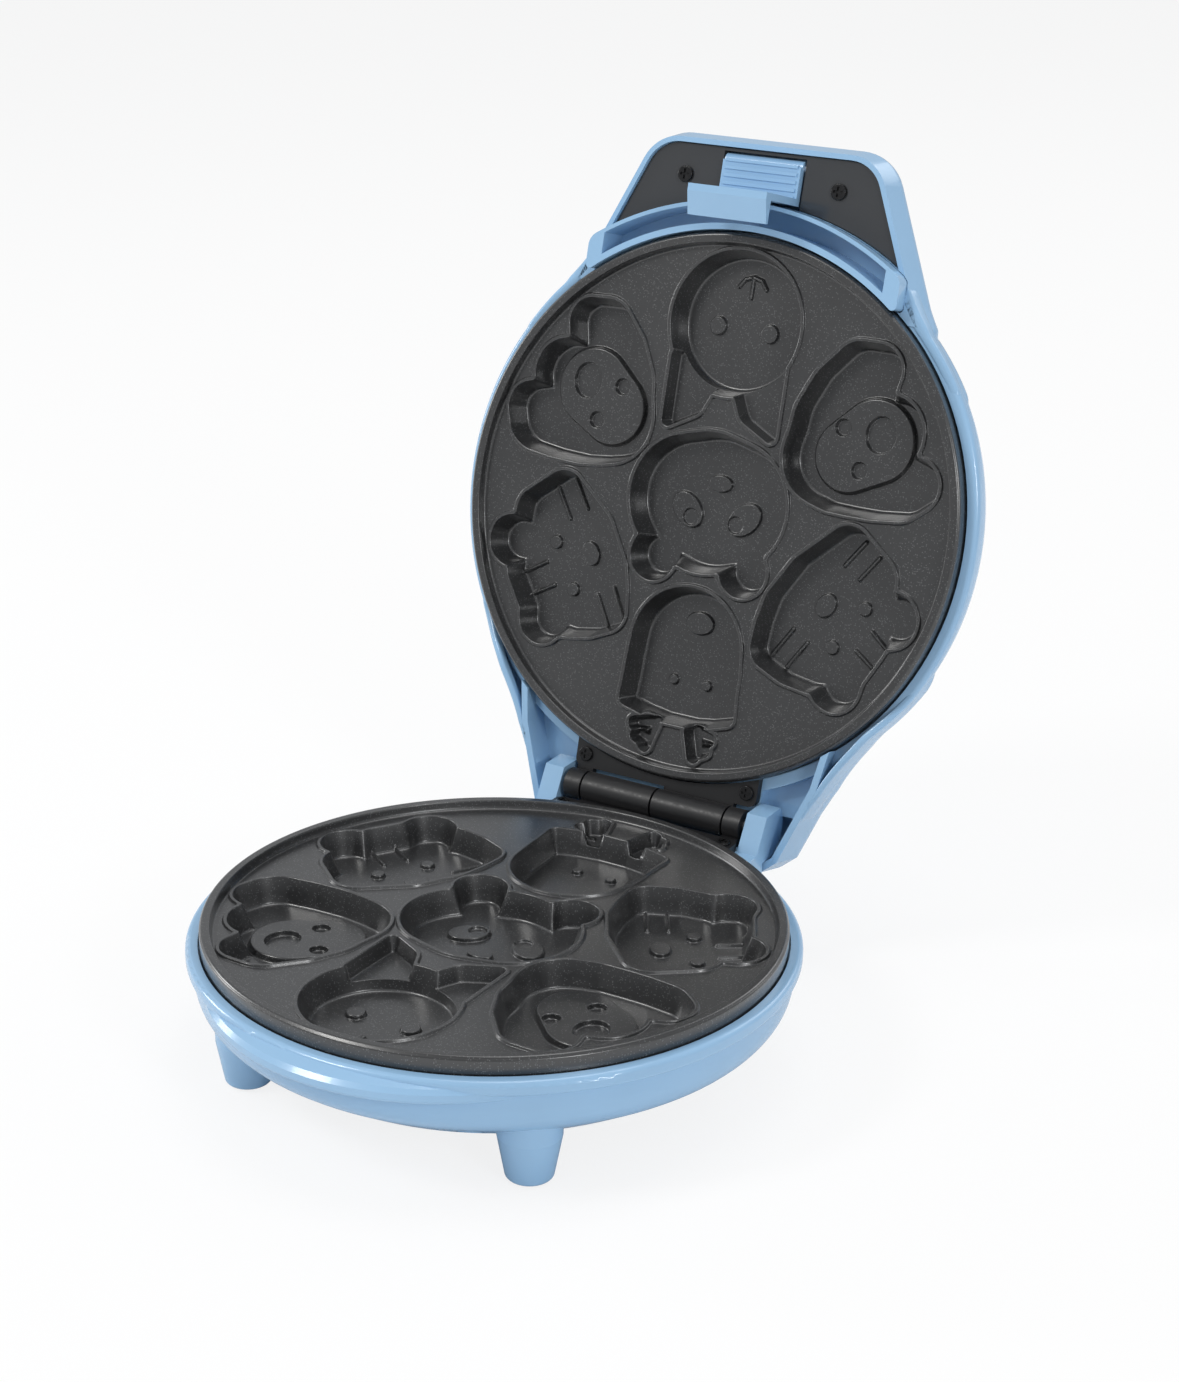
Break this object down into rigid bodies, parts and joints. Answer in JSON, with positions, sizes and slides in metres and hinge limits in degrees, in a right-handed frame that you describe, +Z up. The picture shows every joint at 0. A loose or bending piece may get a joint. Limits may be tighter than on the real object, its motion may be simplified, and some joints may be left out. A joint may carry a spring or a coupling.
{
  "type": "cookie maker",
  "caption": "Hinged cookie maker on four feet: twin non-stick plates with animal-face pockets, a hinged lid with a front grip, and a pivoting latch that hooks under the base's brow.",
  "frame": {"origin": "centre of the bounding box of the open appliance, on the table under its foot pads", "axes": "+Z up, -Y towards the user's side with the latch brow, +X to the user's right; the lid turns about an axis along X at the back"},
  "size_m": [0.2044, 0.2972, 0.2766],
  "materials": {
    "black_screw": "satin black",
    "ceramic": "matte",
    "element_sheath": "satin",
    "foot_rubber": "matte",
    "gland_rubber": "matte",
    "hinge_black": "satin black",
    "housing_plastic": "gloss",
    "insert_grey": "gloss",
    "lens_clear": "gloss",
    "nonstick": "speckled non-stick coating on cast aluminium",
    "plain_steel": "satin",
    "shield_sheet": "satin"
  },
  "bodies": {
    "base": {"cord_gland": "gland_rubber", "foot_front_left": "housing_plastic", "foot_front_right": "housing_plastic", "foot_pad_front_left": "foot_rubber", "foot_pad_front_right": "foot_rubber", "foot_pad_rear_left": "foot_rubber", "foot_pad_rear_right": "foot_rubber", "foot_rear_left": "housing_plastic", "foot_rear_right": "housing_plastic", "hinge_pin": "plain_steel", "lower_cook_plate": "nonstick", "lower_element": "element_sheath", "lower_heat_shield": "shield_sheet", "lower_hinge_bracket": "hinge_black", "lower_hinge_screw_left": "black_screw", "lower_hinge_screw_right": "black_screw", "lower_housing": "housing_plastic", "lower_plate_screw_1": "plain_steel", "lower_plate_screw_2": "plain_steel", "lower_plate_screw_3": "plain_steel", "lower_plate_screw_4": "plain_steel", "terminal_block": "ceramic", "thermal_fuse": "element_sheath", "thermostat": "ceramic"},
    "lid": {"grip_collar": "housing_plastic", "grip_insert": "insert_grey", "grip_screw_left": "black_screw", "grip_screw_right": "black_screw", "indicator_lens_left": "lens_clear", "indicator_lens_right": "lens_clear", "latch_pin": "plain_steel", "upper_cook_plate": "nonstick", "upper_element": "element_sheath", "upper_heat_shield": "shield_sheet", "upper_hinge_bracket": "hinge_black", "upper_hinge_screw_left": "black_screw", "upper_hinge_screw_right": "black_screw", "upper_housing": "housing_plastic", "upper_plate_stud_1": "plain_steel", "upper_plate_stud_2": "plain_steel", "upper_plate_stud_3": "plain_steel", "upper_plate_stud_4": "plain_steel"},
    "latch": {"latch": "housing_plastic"}
  },
  "joints": [
    {"name": "lid_hinge", "type": "hinge", "parent": "base", "child": "lid", "pos_m": [0, 0.06636, 0.0497], "axis": [1, 0, 0], "range_deg": [0, 104.6]},
    {"name": "latch_pivot", "type": "hinge", "parent": "lid", "child": "latch", "pos_m": [0, 0.1328, 0.26986], "axis": [1, 0, 0], "range_deg": [-35, 0]}
  ]
}
